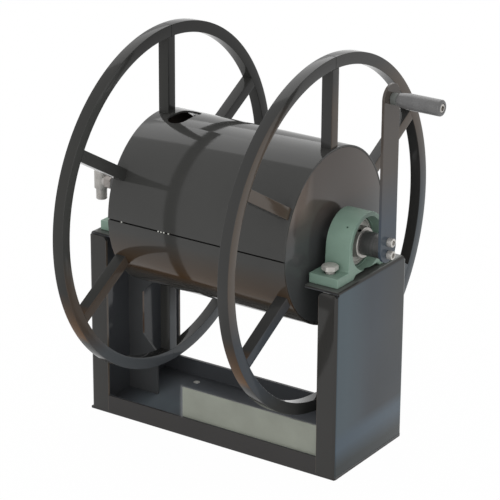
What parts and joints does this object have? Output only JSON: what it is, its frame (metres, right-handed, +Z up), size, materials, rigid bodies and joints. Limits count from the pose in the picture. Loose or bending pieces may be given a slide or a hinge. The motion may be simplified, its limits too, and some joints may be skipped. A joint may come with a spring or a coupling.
{
  "type": "hose reel",
  "caption": "Hand-cranked hose reel on a folded steel stand, with a closed drum between two spoked rings, foot-mounted bearings and a swivel inlet.",
  "frame": {"origin": "underside of the base tray, under the middle of the stand", "axes": "+X along the drum's axis towards the crank, +Y to the rear, +Z up"},
  "size_m": [0.8474, 0.75, 0.8485],
  "materials": {
    "frame_paint": "dark glossy coating on steel",
    "plate_paint": "pale grey-green satin paint",
    "housing_paint": "grey-green paint on cast iron",
    "bright_steel": "bright plated steel",
    "dark_bolt": "dark turned steel",
    "black_rubber": "matt black rubber",
    "grip_plastic": "satin grey plastic",
    "cast_metal": "satin grey cast metal"
  },
  "bodies": {
    "frame": {"base_tray": "frame_paint", "left_pedestal": "frame_paint", "right_pedestal": "frame_paint", "left_web": "frame_paint", "right_web": "frame_paint", "blank_plate": "plate_paint", "left_bearing_housing": "housing_paint", "right_bearing_housing": "housing_paint", "left_bearing_outer_ring": "bright_steel", "left_bearing_ball_cage": "bright_steel", "left_bearing_inner_seal": "bright_steel", "left_bearing_outer_seal": "bright_steel", "left_front_foot_bolt": "bright_steel", "left_front_foot_nut": "bright_steel", "left_rear_foot_bolt": "bright_steel", "left_rear_foot_nut": "bright_steel", "right_bearing_outer_ring": "bright_steel", "right_bearing_ball_cage": "bright_steel", "right_bearing_inner_seal": "bright_steel", "right_bearing_outer_seal": "bright_steel", "right_front_foot_bolt": "bright_steel", "right_front_foot_nut": "bright_steel", "right_rear_foot_bolt": "bright_steel", "right_rear_foot_nut": "bright_steel"},
    "reel": {"drum_shell": "frame_paint", "left_end_disc": "frame_paint", "right_end_disc": "frame_paint", "crank_arm": "frame_paint", "left_hoop_front": "frame_paint", "left_hoop_rear": "frame_paint", "right_hoop_front": "frame_paint", "right_hoop_rear": "frame_paint", "left_spoke_1": "frame_paint", "left_spoke_2": "frame_paint", "left_spoke_3": "frame_paint", "left_spoke_4": "frame_paint", "left_spoke_5": "frame_paint", "left_spoke_6": "frame_paint", "right_spoke_1": "frame_paint", "right_spoke_2": "frame_paint", "right_spoke_3": "frame_paint", "right_spoke_4": "frame_paint", "right_spoke_5": "frame_paint", "right_spoke_6": "frame_paint", "left_bearing_inner_ring": "bright_steel", "right_bearing_inner_ring": "bright_steel", "upper_arm_screw": "bright_steel", "lower_arm_screw": "bright_steel", "handle_bolt": "bright_steel", "handle_nut": "bright_steel", "swivel_stem": "bright_steel", "swivel_seal": "black_rubber", "left_collar_screw": "dark_bolt", "right_collar_screw": "dark_bolt", "shaft": "dark_bolt", "outlet_pipe": "cast_metal"},
    "handle": {"handle_grip": "grip_plastic", "handle_ferrule": "bright_steel"},
    "swivel": {"swivel_elbow": "cast_metal", "swivel_clip": "bright_steel"}
  },
  "joints": [
    {"name": "reel_spin", "type": "hinge", "parent": "frame", "child": "reel", "pos_m": [0, 0, 0.4735], "axis": [1, 0, 0], "continuous": true},
    {"name": "handle_spin", "type": "hinge", "parent": "reel", "child": "handle", "pos_m": [0.4, 0, 0.787], "axis": [1, 0, 0], "continuous": true},
    {"name": "inlet_swivel", "type": "hinge", "parent": "frame", "child": "swivel", "pos_m": [-0.376, 0, 0.4735], "axis": [1, 0, 0], "continuous": true}
  ]
}
